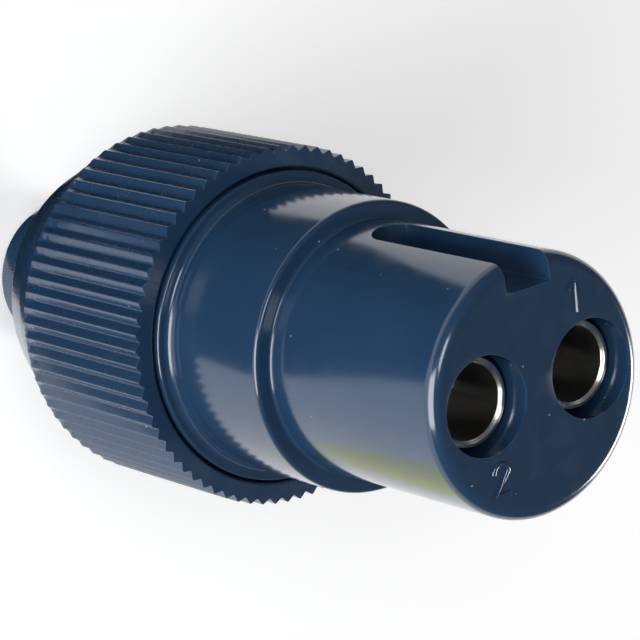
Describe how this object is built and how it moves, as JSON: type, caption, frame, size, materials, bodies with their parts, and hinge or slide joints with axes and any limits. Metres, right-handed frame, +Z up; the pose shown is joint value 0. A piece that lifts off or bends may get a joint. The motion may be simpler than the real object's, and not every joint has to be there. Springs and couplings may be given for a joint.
{
  "type": "low voltage plug",
  "caption": "Two-pole low voltage plug: keyed round nose with recessed socket contacts, shouldered body and a knurled screw-on back shell with a hood and cord snout.",
  "frame": {"origin": "centre of the cord snout's end face, on which the plug stands", "axes": "+Z up along the plug's axis towards the nose, +Y towards the keyway, +X towards contact 1"},
  "size_m": [0.04, 0.04, 0.0868],
  "materials": {
    "shell_plastic": "glossy dark blue moulding",
    "body_plastic": "glossy deep blue moulding",
    "contact_nickel": "nickel-plated brass",
    "clip_steel": "spring steel",
    "screw_steel": "zinc-plated steel",
    "carrier_plastic": "matt black moulding",
    "grommet_rubber": "soft black rubber"
  },
  "bodies": {
    "shell": {"back_shell": "shell_plastic"},
    "grommet": {"cord_grommet": "grommet_rubber"},
    "front": {"front_body": "body_plastic", "contact_1": "contact_nickel", "contact_2": "contact_nickel", "contact_clip_1": "clip_steel", "contact_clip_2": "clip_steel", "terminal_screw_1": "screw_steel", "terminal_screw_2": "screw_steel", "contact_carrier": "carrier_plastic", "carrier_screw_1": "screw_steel", "carrier_screw_2": "screw_steel", "clamp_saddle": "carrier_plastic", "clamp_screw_1": "screw_steel", "clamp_screw_2": "screw_steel", "clamp_nut_1": "screw_steel", "clamp_nut_2": "screw_steel"}
  },
  "joints": [
    {"name": "unscrew_turn", "type": "hinge", "parent": "shell", "child": "grommet", "pos_m": [0, 0, 0], "axis": [0, 0, 1], "range_deg": [0, 2160]},
    {"name": "unscrew_lift", "type": "slide", "parent": "grommet", "child": "front", "axis": [0, 0, 1], "range_m": [0, 0.012]}
  ],
  "couplings": [
    {"joint": "unscrew_turn", "follows": "unscrew_lift", "rad_per_m": 3141.6}
  ]
}
